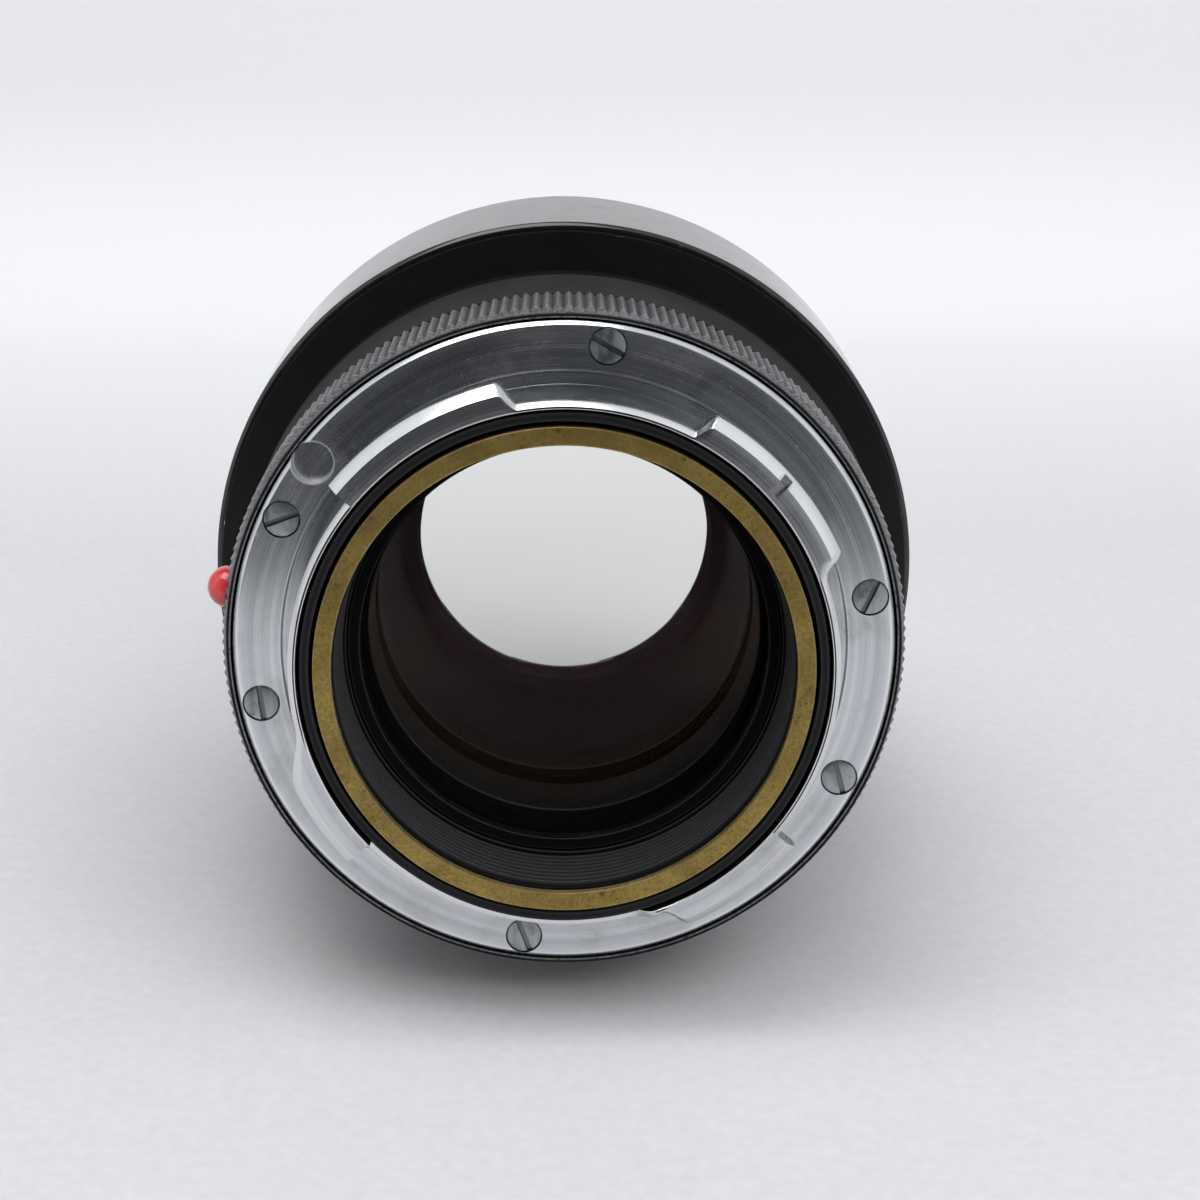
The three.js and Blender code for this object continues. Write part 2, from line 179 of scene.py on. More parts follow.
# ---- meshes ----
def mesh_object(name, verts, faces, wear=None, sharp=38):
    mesh = bpy.data.meshes.new(name)
    mesh.from_pydata([tuple(v) for v in verts], [], faces)
    mesh.update()
    if wear is not None:
        layer = mesh.attributes.new("wear", "FLOAT", "POINT")
        layer.data.foreach_set("value", np.asarray(wear, np.float32))
    mesh.polygons.foreach_set("use_smooth", [True] * len(mesh.polygons))
    mesh.set_sharp_from_angle(angle=math.radians(sharp))
    obj = bpy.data.objects.new(name, mesh)
    scene.collection.objects.link(obj)
    return obj


def revolved(name, points, edges=None, turns=TURNS, shape=None, sharp=38):
    """A ring from a closed outline. shape(r, y, degrees) gives a new radius and how worn that spot is."""
    edges = edges or [0.0] * len(points)
    n = len(points)
    verts, wear = [], []
    for i in range(turns):
        degrees = 360.0 * i / turns
        c, s = math.cos(math.radians(degrees)), math.sin(math.radians(degrees))
        for (r, y), e in zip(points, edges):
            if shape:
                r, worn = shape(r, y, degrees)
                e = max(e, worn)
            verts.append((r * c, y, r * s))
            wear.append(e)
    faces = []
    for i in range(turns):
        k = (i + 1) % turns
        for j in range(n):
            m = (j + 1) % n
            faces.append((i * n + j, i * n + m, k * n + m, k * n + j))
    return mesh_object(name, verts, faces, wear, sharp)


def revolved_solid(name, points, turns=TURNS, rim=None):
    """A piece with no hole, its outline starting and ending on the axis. Wear marks what is beyond rim."""
    inner = points[1:-1]
    n = len(inner)
    verts = [(0, points[0][1], 0), (0, points[-1][1], 0)]
    for i in range(turns):
        t = 2 * math.pi * i / turns
        verts.extend((r * math.cos(t), y, r * math.sin(t)) for r, y in inner)
    faces = []
    for i in range(turns):
        a, b = 2 + i * n, 2 + ((i + 1) % turns) * n
        faces.append((0, a, b))
        for j in range(n - 1):
            faces.append((a + j, a + j + 1, b + j + 1, b + j))
        faces.append((a + n - 1, 1, b + n - 1))
    wear = [1.0 if rim and math.hypot(v[0], v[2]) > rim else 0.0 for v in verts]
    return mesh_object(name, verts, faces, wear)


def placed(obj, node, material):
    """Gives a new piece its material and lets it stand for its CAD node."""
    obj.data.materials.clear()
    obj.data.materials.append(material)
    body = nodes[node]["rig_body"]
    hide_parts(node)
    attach(obj, body)
    return obj


def turned(node, material, size=0.12 * MM, longest=None, turns=TURNS, shape=None, at=90.02, sharp=38):
    """The usual piece: the CAD node's own outline, softened and turned finely."""
    points, edges = softened(section(node, at), size)
    if longest:
        points, edges = divided(points, edges, longest)
    obj = revolved(node + "_fine", points, edges, turns, shape, sharp)
    return placed(obj, node, material)


# ---- shader building ----
class Paint:
    """A material under construction, with short names for the nodes that the recipes below use."""

    def __init__(self, name):
        self.material = bpy.data.materials.new(name)
        self.material.use_nodes = True
        self.tree = self.material.node_tree
        self.tree.nodes.clear()
        self.output = self.tree.nodes.new("ShaderNodeOutputMaterial")
        self.spot = self.add("ShaderNodeTexCoord").outputs["Object"]

    def add(self, kind, **settings):
        node = self.tree.nodes.new(kind)
        for key, value in settings.items():
            setattr(node, key, value)
        return node

    def feed(self, socket, value):
        if isinstance(value, bpy.types.NodeSocket):
            self.tree.links.new(value, socket)
        elif value is not None:
            socket.default_value = value

    def math(self, operation, a, b=None):
        node = self.add("ShaderNodeMath", operation=operation)
        for socket, value in zip(node.inputs, (a, b)):
            self.feed(socket, value)
        return node.outputs[0]

    def axes(self):
        node = self.add("ShaderNodeSeparateXYZ")
        self.feed(node.inputs[0], self.spot)
        return node.outputs

    def radius(self):
        x, _, z = self.axes()
        return self.math("SQRT", self.math("ADD", self.math("MULTIPLY", x, x), self.math("MULTIPLY", z, z)))

    def stretched(self, x, y, z):
        node = self.add("ShaderNodeMapping")
        self.feed(node.inputs["Vector"], self.spot)
        node.inputs["Scale"].default_value = (x, y, z)
        return node.outputs[0]

    def noise(self, scale, detail=3.0, rough=0.55, vector=None, w=None):
        node = self.add("ShaderNodeTexNoise")
        if w is not None:
            node.noise_dimensions = "1D"
            self.feed(node.inputs["W"], w)
        else:
            self.feed(node.inputs["Vector"], vector or self.spot)
        node.inputs["Scale"].default_value = scale
        node.inputs["Detail"].default_value = detail
        node.inputs["Roughness"].default_value = rough
        return node.outputs[0]

    def specks(self, scale):
        node = self.add("ShaderNodeTexVoronoi")
        self.feed(node.inputs["Vector"], self.spot)
        node.inputs["Scale"].default_value = scale
        return node.outputs["Distance"]

    def between(self, value, low, high, to_low=0.0, to_high=1.0):
        node = self.add("ShaderNodeMapRange")
        node.clamp = True
        for name, v in (
            ("Value", value),
            ("From Min", low),
            ("From Max", high),
            ("To Min", to_low),
            ("To Max", to_high),
        ):
            self.feed(node.inputs[name], v)
        return node.outputs[0]

    def wear(self):
        return self.add("ShaderNodeAttribute", attribute_name="wear").outputs["Fac"]

    def mixed(self, factor, a, b):
        node = self.add("ShaderNodeMix", data_type="RGBA")
        self.feed(node.inputs["Factor"], factor)
        self.feed(node.inputs["A"], a if isinstance(a, bpy.types.NodeSocket) else (*a, 1.0))
        self.feed(node.inputs["B"], b if isinstance(b, bpy.types.NodeSocket) else (*b, 1.0))
        return node.outputs["Result"]

    def bump(self, height, distance, strength=1.0, below=None):
        node = self.add("ShaderNodeBump")
        node.inputs["Strength"].default_value = strength
        node.inputs["Distance"].default_value = distance
        self.feed(node.inputs["Height"], height)
        if below:
            self.feed(node.inputs["Normal"], below)
        return node.outputs[0]

    def surface(self, colour, roughness, metallic=0.0, normal=None, **fixed):
        shader = self.add("ShaderNodeBsdfPrincipled")
        if not isinstance(colour, bpy.types.NodeSocket):
            colour = (*colour, 1.0)
        self.feed(shader.inputs["Base Color"], colour)
        self.feed(shader.inputs["Roughness"], roughness)
        self.feed(shader.inputs["Metallic"], metallic)
        if normal:
            self.feed(shader.inputs["Normal"], normal)
        for name, value in fixed.items():
            shader.inputs[name.replace("_", " ")].default_value = value
        self.feed(self.output.inputs["Surface"], shader.outputs[0])
        return shader


def turning_lines(paint, spacing, along="radius"):
    """Fine concentric tool marks: noise that runs along the radius, or along the axis on a side wall."""
    where = paint.radius() if along == "radius" else paint.axes()[1]
    return paint.noise(1.0 / spacing, detail=2.0, w=where)


# ---- materials ----
def satin_chrome():
    """Turned and chromed brass: concentric tool marks, faint stains, a painted highlight along the softened
    edges, and round the plug a painted shade inside and a painted highlight on its rim.
    """
    p = Paint("satin_chrome")
    lines = turning_lines(p, 0.16 * MM)
    coarse = turning_lines(p, 0.9 * MM)
    stains = p.between(p.noise(170, detail=5.0, rough=0.62), 0.5, 0.72)
    grime = p.between(p.noise(900, detail=4.0), 0.6, 0.78)
    clean = p.mixed(p.between(coarse, 0.3, 0.7), (0.49, 0.505, 0.53), (0.63, 0.645, 0.665))
    stained = p.mixed(p.math("MULTIPLY", stains, 0.45), clean, (0.36, 0.34, 0.31))
    colour = p.mixed(p.math("MULTIPLY", grime, 0.2), stained, (0.20, 0.19, 0.18))
    # painted highlight: the softened edges are lightened towards near white
    colour = p.mixed(p.math("MULTIPLY", p.wear(), 0.7), colour, (0.82, 0.82, 0.83))
    x, _, z = p.axes()
    across = p.math("SUBTRACT", x, PLUG_CIRCLE * math.cos(math.radians(PLUG_PLACE)))
    along = p.math("SUBTRACT", z, PLUG_CIRCLE * math.sin(math.radians(PLUG_PLACE)))
    off_plug = p.math("SQRT", p.math("ADD", p.math("POWER", across, 2.0), p.math("POWER", along, 2.0)))
    # painted shade on the floor of the plug's recess, and a painted highlight as a thin bright ring just
    # outside its rim
    inside = p.between(off_plug, PLUG_R - 0.1 * MM, PLUG_R - 0.04 * MM, 1.0, 0.0)
    plug_rim_highlight = p.math("SUBTRACT", p.between(off_plug, PLUG_R + 0.06 * MM, PLUG_R + 0.14 * MM, 1.0, 0.0), inside)
    colour = p.mixed(p.math("MULTIPLY", inside, 0.55), colour, (0.2, 0.21, 0.23))
    colour = p.mixed(p.math("MULTIPLY", plug_rim_highlight, 0.8), colour, (0.95, 0.95, 0.96))
    roughness = p.math("ADD", p.between(lines, 0.25, 0.75, 0.16, 0.26), p.math("MULTIPLY", stains, 0.08))
    roughness = p.math("ADD", roughness, p.math("MULTIPLY", plug_rim_highlight, 0.25))
    normal = p.bump(lines, 0.002 * MM, 0.5)
    tangent = p.add("ShaderNodeTangent", direction_type="RADIAL", axis="Y")
    shader = p.surface(colour, roughness, 1.0, normal, Anisotropic=0.72, Anisotropic_Rotation=0.25)
    p.feed(shader.inputs["Tangent"], tangent.outputs[0])
    return p.material


def screw_steel():
    p = Paint("screw_steel")
    grain = p.noise(1800, detail=3.0, vector=p.stretched(1.0, 1.0, 0.12))
    dirt = p.between(p.noise(700, detail=4.0), 0.5, 0.7)
    colour = p.mixed(p.between(grain, 0.3, 0.7), (0.27, 0.295, 0.315), (0.45, 0.475, 0.49))
    colour = p.mixed(p.math("MULTIPLY", dirt, 0.6), colour, (0.08, 0.08, 0.08))
    # painted shade: the sunken rim and the slot walls, 0.07 to 0.22 mm into the flange, are darkened
    recess_shade = p.between(p.axes()[1], FLANGE_Y + 0.07 * MM, FLANGE_Y + 0.22 * MM)
    colour = p.mixed(p.math("MULTIPLY", recess_shade, 0.6), colour, (0.1, 0.1, 0.1))
    # painted highlight where the edge mask is set
    colour = p.mixed(p.math("MULTIPLY", p.wear(), 0.6), colour, (0.72, 0.72, 0.72))
    normal = p.bump(grain, 0.004 * MM, 0.6)
    p.surface(colour, p.between(grain, 0.3, 0.7, 0.28, 0.48), 1.0, normal)
    return p.material


def bare_brass():
    """Bare turned brass: brown tarnish in clouds, a fine grain, and dark specks that gather in places."""
    p = Paint("bare_brass")
    lines = turning_lines(p, 0.14 * MM)
    tarnish = p.between(p.noise(240, detail=6.0, rough=0.68), 0.4, 0.66)
    grain = p.between(p.noise(3600, detail=4.0, rough=0.8), 0.4, 0.62)
    gathered = p.between(p.noise(170, detail=3.0), 0.45, 0.6)
    small = p.math("MULTIPLY", p.between(p.specks(2300), 0.0, 0.3, 1.0, 0.0), gathered)
    large = p.math("MULTIPLY", p.between(p.specks(640), 0.06, 0.2, 1.0, 0.0), gathered)
    colour = p.mixed(tarnish, (0.43, 0.315, 0.095), (0.25, 0.175, 0.055))
    colour = p.mixed(p.math("MULTIPLY", grain, 0.5), colour, (0.15, 0.105, 0.035))
    colour = p.mixed(p.math("MULTIPLY", small, 0.85), colour, (0.05, 0.034, 0.018))
    colour = p.mixed(p.math("MULTIPLY", large, 0.7), colour, (0.07, 0.042, 0.022))
    # painted highlight: the softened edges are lightened a little towards pale brass
    colour = p.mixed(p.math("MULTIPLY", p.wear(), 0.15), colour, (0.66, 0.54, 0.28))
    roughness = p.math("ADD", p.between(lines, 0.3, 0.7, 0.3, 0.42), p.math("MULTIPLY", grain, 0.16))
    normal = p.bump(lines, 0.004 * MM, 0.6)
    normal = p.bump(grain, 0.006 * MM, 0.5, normal)
    shader = p.surface(colour, roughness, 1.0, normal, Anisotropic=0.4, Anisotropic_Rotation=0.25)
    tangent = p.add("ShaderNodeTangent", direction_type="RADIAL", axis="Y")
    p.feed(shader.inputs["Tangent"], tangent.outputs[0])
    return p.material


def thread_brass():
    p = Paint("thread_brass")
    lines = turning_lines(p, 0.7 * MM, "axis")
    grease = p.between(p.noise(240, detail=4.0), 0.4, 0.6)
    colour = p.mixed(grease, (0.42, 0.32, 0.13), (0.20, 0.15, 0.06))
    normal = p.bump(lines, 0.06 * MM, 0.7)
    p.surface(colour, p.between(grease, 0.0, 1.0, 0.45, 0.22), 1.0, normal)
    return p.material


def black_enamel(
    name="black_enamel",
    worn=(0.19, 0.175, 0.15),
    wear_low=0.46,
    gloss=0.3,
    ior=1.5,
    dusty=0.018,
):
    """Satin black enamel over brass: a faint orange peel, dust, and metal showing where edges have rubbed."""
    p = Paint(name)
    peel = p.noise(1500, detail=2.0)
    dust = p.between(p.noise(420, detail=5.0, rough=0.7), 0.5, 0.75)
    rubbed = p.noise(330, detail=6.0, rough=0.7)
    bare = p.math("MULTIPLY", p.wear(), p.between(rubbed, wear_low, wear_low + 0.12))
    clean = (dusty / 3, dusty / 3, dusty / 2.8)
    colour = p.mixed(p.math("MULTIPLY", dust, 0.35), clean, (dusty, dusty, dusty))
    colour = p.mixed(bare, colour, worn)
    roughness = p.math("ADD", gloss, p.math("MULTIPLY", dust, 0.1))
    normal = p.bump(peel, 0.0015 * MM, 0.5)
    p.surface(colour, roughness, bare, normal, IOR=ior)
    return p.material


def worn_knurl():
    """The mount ring: black enamel, dull on its smooth band, rubbed grey on the knurl and its bevel."""
    p = Paint("worn_enamel")
    wear = p.wear()
    fine = p.noise(2600, detail=4.0, rough=0.7)
    broad = p.noise(140, detail=3.0)
    bare = p.math("MULTIPLY", wear, p.between(fine, 0.3, 0.55))
    bare = p.math("MULTIPLY", bare, p.between(broad, 0.3, 0.6, 0.6, 1.0))
    dark = p.mixed(p.between(broad, 0.35, 0.65), (0.006, 0.006, 0.007), (0.013, 0.013, 0.014))
    colour = p.mixed(bare, dark, (0.30, 0.30, 0.31))
    normal = p.bump(fine, 0.004 * MM, 0.6)
    p.surface(colour, p.between(wear, 0.0, 0.2, 0.6, 0.34), p.math("MULTIPLY", bare, 0.9), normal, IOR=1.16)
    return p.material


def matt_black(name="matt_black", shade=0.008, roughness=0.62, ior=1.25, edge=0.05, rubbed=0.3):
    """Black anodising inside the barrel: nearly black, with a fine tooth, a little dust and a painted
    highlight along its edges.
    """
    p = Paint(name)
    tooth = p.noise(2400, detail=3.0)
    dust = p.between(p.specks(1300), 0.0, 0.08, 1.0, 0.0)
    base = (shade, shade, shade * 1.05)
    colour = p.mixed(p.math("MULTIPLY", dust, 0.35), base, (0.10, 0.10, 0.10))
    # painted highlight: edges are lightened towards the edge colour, by the share given as rubbed
    colour = p.mixed(p.math("MULTIPLY", p.wear(), rubbed), colour, (edge, edge, edge * 1.08))
    normal = p.bump(tooth, 0.006 * MM, 0.7)
    p.surface(colour, p.between(tooth, 0.3, 0.7, roughness - 0.08, roughness + 0.1), 0.0, normal, IOR=ior)
    return p.material


def blade_steel():
    p = Paint("blade_steel")
    smear = p.noise(300, detail=5.0)
    lines = p.noise(900, detail=2.0, vector=p.stretched(1.0, 1.0, 0.1))
    colour = p.mixed(smear, (0.05, 0.05, 0.055), (0.10, 0.10, 0.115))
    p.surface(colour, p.between(lines, 0.3, 0.7, 0.3, 0.45), 1.0, p.bump(lines, 0.002 * MM, 0.5))
    return p.material


def red_enamel():
    p = Paint("red_enamel")
    swirl = p.noise(600, detail=4.0)
    scuffs = p.between(p.noise(1900, detail=4.0), 0.6, 0.7)
    colour = p.mixed(swirl, (0.46, 0.022, 0.022), (0.60, 0.04, 0.035))
    colour = p.mixed(p.math("MULTIPLY", scuffs, 0.4), colour, (0.34, 0.03, 0.03))
    normal = p.bump(swirl, 0.006 * MM, 0.5)
    roughness = p.between(scuffs, 0.0, 1.0, 0.2, 0.42)
    p.surface(colour, roughness, 0.0, normal, Coat_Weight=0.5, Coat_Roughness=0.12)
    return p.material


def scale_paint(name, colour):
    p = Paint(name)
    chips = p.between(p.noise(2300, detail=4.0), 0.35, 0.6)
    shade = p.mixed(chips, tuple(0.6 * c for c in colour), colour)
    p.surface(shade, p.between(chips, 0.0, 1.0, 0.6, 0.45), 0.0, p.bump(chips, 0.004 * MM, 0.5))
    return p.material


def coated_glass(name, tint, passes_lamps):
    """A coated element: clear, with a weak coloured reflection that grows at a slant, and a trace of dust."""
    p = Paint(name)
    if passes_lamps:
        clear = p.add("ShaderNodeBsdfTransparent")
    else:
        clear = p.add("ShaderNodeBsdfRefraction")
        clear.inputs["Roughness"].default_value = 0.0
        clear.inputs["IOR"].default_value = 1.001
    clear.inputs["Color"].default_value = (0.996, 0.996, 0.993, 1.0)
    sheen = p.add("ShaderNodeBsdfGlossy")
    sheen.inputs["Roughness"].default_value = 0.02
    patches = p.noise(60, detail=2.0)
    p.feed(sheen.inputs["Color"], p.mixed(patches, tint, tuple(0.75 * c for c in tint)))
    slant = p.add("ShaderNodeFresnel")
    slant.inputs["IOR"].default_value = 1.45
    dust = p.between(p.specks(700), 0.0, 0.035, 0.06, 0.0)
    amount = p.math("ADD", p.math("MULTIPLY", slant.outputs[0], 0.16), dust)
    both = p.add("ShaderNodeMixShader")
    p.feed(both.inputs[0], amount)
    p.feed(both.inputs[1], clear.outputs[0])
    p.feed(both.inputs[2], sheen.outputs[0])
    blackened = p.add("ShaderNodeBsdfDiffuse")
    blackened.inputs["Color"].default_value = (0.004, 0.004, 0.004, 1.0)
    with_rim = p.add("ShaderNodeMixShader")
    p.feed(with_rim.inputs[0], p.between(p.wear(), 0.5, 0.6))
    p.feed(with_rim.inputs[1], both.outputs[0])
    p.feed(with_rim.inputs[2], blackened.outputs[0])
    p.feed(p.output.inputs["Surface"], with_rim.outputs[0])
    return p.material


CHROME = satin_chrome()
STEEL = screw_steel()
BRASS = bare_brass()
HELICOID = thread_brass()
ENAMEL = black_enamel()
GLOSS_ENAMEL = black_enamel("gloss_enamel", worn=(0.07, 0.068, 0.06), wear_low=0.56, gloss=0.1)
SHOULDER = black_enamel("shoulder_enamel", (0.05, 0.05, 0.05), 0.6, gloss=0.45, ior=1.08, dusty=0.005)
KNURL = worn_knurl()
MATT = matt_black()
# A darker, duller copy of the matt black: painted shade on the cells, rings and spacers deep in the barrel,
# with a painted highlight on their edges.
SHADED_BLACK = matt_black("shaded_deep_black", 0.004, 0.7, 1.12, 0.03, 0.9)
# The ribbed black carries a strong painted highlight on its rib edges.
RIBS = matt_black("ribbed_black", 0.005, 0.5, 1.2, 0.04, 0.8)
BLADE = blade_steel()
RED = red_enamel()
WHITE_PAINT = scale_paint("white_filling", (0.78, 0.78, 0.75))
AMBER_PAINT = scale_paint("amber_filling", (0.72, 0.42, 0.10))
AMBER_GLASS = coated_glass("amber_coating", (1.0, 0.62, 0.34), False)
PURPLE_GLASS = coated_glass("purple_coating", (0.72, 0.48, 1.0), True)
BLUE_GLASS = coated_glass("blue_coating", (0.55, 0.62, 1.0), False)


# ---- small shapes ----
def wave(degrees, count):
    """A pointed wave round the ring, from 0 in a groove to 1 on a tip."""
    phase = (degrees * count / 360.0) % 1.0
    return 1.0 - abs(2.0 * phase - 1.0)


def carve(target, tools):
    """Cuts the tools out of the target for good, then removes them."""
    for tool in tools:
        modifier = target.modifiers.new("cut", "BOOLEAN")
        modifier.operation = "DIFFERENCE"
        modifier.solver = "EXACT"
        modifier.object = tool
        bpy.context.view_layer.objects.active = target
        with bpy.context.temp_override(object=target, active_object=target):
            bpy.ops.object.modifier_apply(modifier=modifier.name)
        bpy.data.objects.remove(tool)
    target.data.polygons.foreach_set("use_smooth", [True] * len(target.data.polygons))
    target.data.set_sharp_from_angle(angle=math.radians(30))


def round_tool(radius, rear, front, circle, degrees, turns=64):
    """A plain cylinder along the optical axis, used only to cut."""
    bm = bmesh.new()
    bmesh.ops.create_cone(
        bm, cap_ends=True, segments=turns, radius1=radius, radius2=radius, depth=front - rear
    )
    bmesh.ops.rotate(bm, verts=bm.verts, matrix=Matrix.Rotation(math.pi / 2, 3, "X"))
    t = math.radians(degrees)
    middle = (circle * math.cos(t), (rear + front) / 2, circle * math.sin(t))
    bmesh.ops.translate(bm, verts=bm.verts, vec=middle)
    return tool_object(bm)


def block_tool(width, length, height, circle, y, degrees):
    """A block at a radius, width along the ring, length along the axis and height along the radius."""
    bm = bmesh.new()
    bmesh.ops.create_cube(bm, size=1.0)
    bmesh.ops.scale(bm, verts=bm.verts, vec=(height, length, width))
    bmesh.ops.translate(bm, verts=bm.verts, vec=(circle, y, 0))
    bmesh.ops.rotate(bm, verts=bm.verts, matrix=Matrix.Rotation(-math.radians(degrees), 3, "Y"))
    return tool_object(bm)


def tool_object(bm):
    mesh = bpy.data.meshes.new("tool")
    bm.to_mesh(mesh)
    bm.free()
    obj = bpy.data.objects.new("tool", mesh)
    scene.collection.objects.link(obj)
    return obj


# ---- rear mount ----
SCREWS = [(82, -30), (154, 20), (190, -83), (262, -70), (334, -75), (10, 65)]  # place, slot direction
LUGS = [
    ((99.5, 103), (140.4, 140.4)),
    ((20, 24.5), (59.6, 62.6)),
    ((291.5, 295.5), (321.5, 321.5)),
    ((192, 205), (222, 222)),
]  # inner and outer angle at the start, outer and inner angle at the end
LUG_R, TUBE_R, TUBE_REAR = 22.0 * MM, 20.3 * MM, FLANGE_Y - 6.4 * MM
LUG_FRONT = FLANGE_Y - 4.4 * MM
LUG_END_STEP = 0.12  # degrees over which a square lug end falls away
SHORT_START, SHORT_RAMP, SHORT_END = 222.3, 284.0, 290.0  # where the tube's rear end is cut back
SHORT_BY, SHORT_REACH = 1.7 * MM, 2.4 * MM
SCREW_CIRCLE = 23.4 * MM
SCREW_R = 1.375 * MM
KNURL_TIP_R = 26.05 * MM  # the mount ring's tooth tips, where the red bead sits too


def lug_rise(degrees):
    """How far the tube has swollen into a lug at this angle, from 0 to 1. Slanted ends rise smoothly."""
    for (start_inner, start_outer), (end_outer, end_inner) in LUGS:
        if start_inner <= degrees <= end_inner:
            rise = (degrees - start_inner) / (start_outer - start_inner)
            fall = (end_inner - degrees) / max(end_inner - end_outer, LUG_END_STEP)
            t = max(0.0, min(1.0, rise, fall))
            return t * t * (3 - 2 * t)
    return 0.0


def lug_stations():
    """Angles for the flange's cross-sections: one a degree, and close ones where a lug starts and ends."""
    places = {float(d) for d in range(360)}
    for (start_inner, start_outer), (end_outer, end_inner) in LUGS:
        end_inner = max(end_inner, end_outer)
        places |= {start_inner + (start_outer - start_inner) * i / 8 for i in range(9)}
        places |= {end_outer - LUG_END_STEP, end_outer - LUG_END_STEP / 2, end_outer, end_inner}
        places |= {end_outer + (end_inner - end_outer) * i / 6 for i in range(7)}
    places |= {SHORT_START, SHORT_START + LUG_END_STEP}
    return sorted(places)


def cut_back(degrees):
    """How far the tube is cut back at this angle, from 0 to 1, with a ramp up to the next lug."""
    if SHORT_START <= degrees <= SHORT_RAMP:
        return min(1.0, (degrees - SHORT_START) / LUG_END_STEP)
    if SHORT_RAMP < degrees < SHORT_END:
        t = (SHORT_END - degrees) / (SHORT_END - SHORT_RAMP)
        return t * t * (3 - 2 * t)
    return 0.0


def bayonet_flange():
    points, edges = softened(section("bayonet_flange"), 0.09 * MM)
    rear_corner = [
        i
        for i, (r, y) in enumerate(points)
        if TUBE_R - 0.3 * MM < r < TUBE_R + 0.2 * MM and y < TUBE_REAR + 0.3 * MM
    ]
    first, last = rear_corner[0], rear_corner[-1]
    plain = [
        (TUBE_R - 0.52 * MM, TUBE_REAR),
        (TUBE_R - 0.42 * MM, TUBE_REAR),
        (TUBE_R - 0.38 * MM, TUBE_REAR + 0.01 * MM),
        (TUBE_R - 0.03 * MM, TUBE_REAR + 0.36 * MM),
        (TUBE_R, TUBE_REAR + 0.42 * MM),
        (TUBE_R, LUG_FRONT - 0.2 * MM),
        (TUBE_R, LUG_FRONT - 0.1 * MM),
        (TUBE_R, LUG_FRONT),
        (TUBE_R, LUG_FRONT + 0.02 * MM),
    ]
    swollen = [
        (TUBE_R - 0.22 * MM, TUBE_REAR),
        (LUG_R - 0.88 * MM, TUBE_REAR),
        (LUG_R - 0.8 * MM, TUBE_REAR + 0.02 * MM),
        (LUG_R - 0.06 * MM, TUBE_REAR + 0.74 * MM),
        (LUG_R, TUBE_REAR + 0.84 * MM),
        (LUG_R, LUG_FRONT - 0.15 * MM),
        (LUG_R - 0.04 * MM, LUG_FRONT - 0.04 * MM),
        (LUG_R - 0.15 * MM, LUG_FRONT),
        (TUBE_R, LUG_FRONT + 0.02 * MM),
    ]
    # Edge values for the tube's rear corner and the lug bevels: in the chrome they become painted highlight
    # lines.
    plain_edge = [0, 0.6, 1, 1, 0.4, 0, 0, 0, 0]
    swollen_edge = [0, 0.3, 1, 1, 0.4, 0, 0.4, 0, 0]
    if points[first][1] > points[last][1] + 1e-9:
        plain, swollen = plain[::-1], swollen[::-1]
        plain_edge, swollen_edge = plain_edge[::-1], swollen_edge[::-1]
    before, after = points[:first], points[last + 1:]
    before_edge, after_edge = edges[:first], edges[last + 1:]
    stations = lug_stations()
    n = len(before) + len(plain) + len(after)
    verts, wear = [], []
    for degrees in stations:
        t = lug_rise(degrees)
        middle = [
            (a[0] + (b[0] - a[0]) * t, a[1] + (b[1] - a[1]) * t) for a, b in zip(plain, swollen)
        ]
        worn = [a + (b - a) * t for a, b in zip(plain_edge, swollen_edge)]
        squeeze = SHORT_BY / SHORT_REACH * cut_back(degrees)
        root = TUBE_REAR + SHORT_REACH
        c, s = math.cos(math.radians(degrees)), math.sin(math.radians(degrees))
        for r, y in before + middle + after:
            verts.append((r * c, y + max(0.0, root - y) * squeeze, r * s))
        wear.extend(before_edge + worn + after_edge)
    faces = []
    for i in range(len(stations)):
        k = (i + 1) % len(stations)
        for j in range(n):
            m = (j + 1) % n
            faces.append((i * n + j, i * n + m, k * n + m, k * n + j))
    ring = mesh_object("bayonet_flange_fine", verts, faces, wear, 30)
    tools = [round_tool(PLUG_R, FLANGE_Y - 1 * MM, FLANGE_Y + 1.2 * MM, PLUG_CIRCLE, PLUG_PLACE)]
    tools.append(block_tool(0.8 * MM, 1.1 * MM, 2.6 * MM, 21.5 * MM, TUBE_REAR, 42))
    for place, _ in SCREWS:
        front = FLANGE_Y + 0.95 * MM
        tools.append(round_tool(SCREW_R + 0.05 * MM, FLANGE_Y - 1 * MM, front, SCREW_CIRCLE, place))
    carve(ring, tools)
    placed(ring, "bayonet_flange", CHROME)


def flange_screw(index, place, slot_direction):
    """A cheese-headed screw let in flush, with a rounded rim and a plain slot."""
    node = f"flange_screw_{index}"
    y = FLANGE_Y
    outline = [
        (0, y + 0.03 * MM),
        (SCREW_R - 0.2 * MM, y + 0.04 * MM),
        (SCREW_R - 0.08 * MM, y + 0.07 * MM),
        (SCREW_R, y + 0.17 * MM),
        (SCREW_R, y + 0.85 * MM),
        (0.75 * MM, y + 0.85 * MM),
        (0.75 * MM, y + 4.6 * MM),
        (0, y + 4.6 * MM),
    ]
    screw = revolved_solid(node + "_fine", outline, 64)
    t = math.radians(place)
    slot = block_tool(0.42 * MM, 0.8 * MM, 4 * MM, 0, y, slot_direction)
    carve(screw, [slot])
    screw.data.transform(Matrix.Translation((SCREW_CIRCLE * math.cos(t), 0, SCREW_CIRCLE * math.sin(t))))
    placed(screw, node, STEEL)


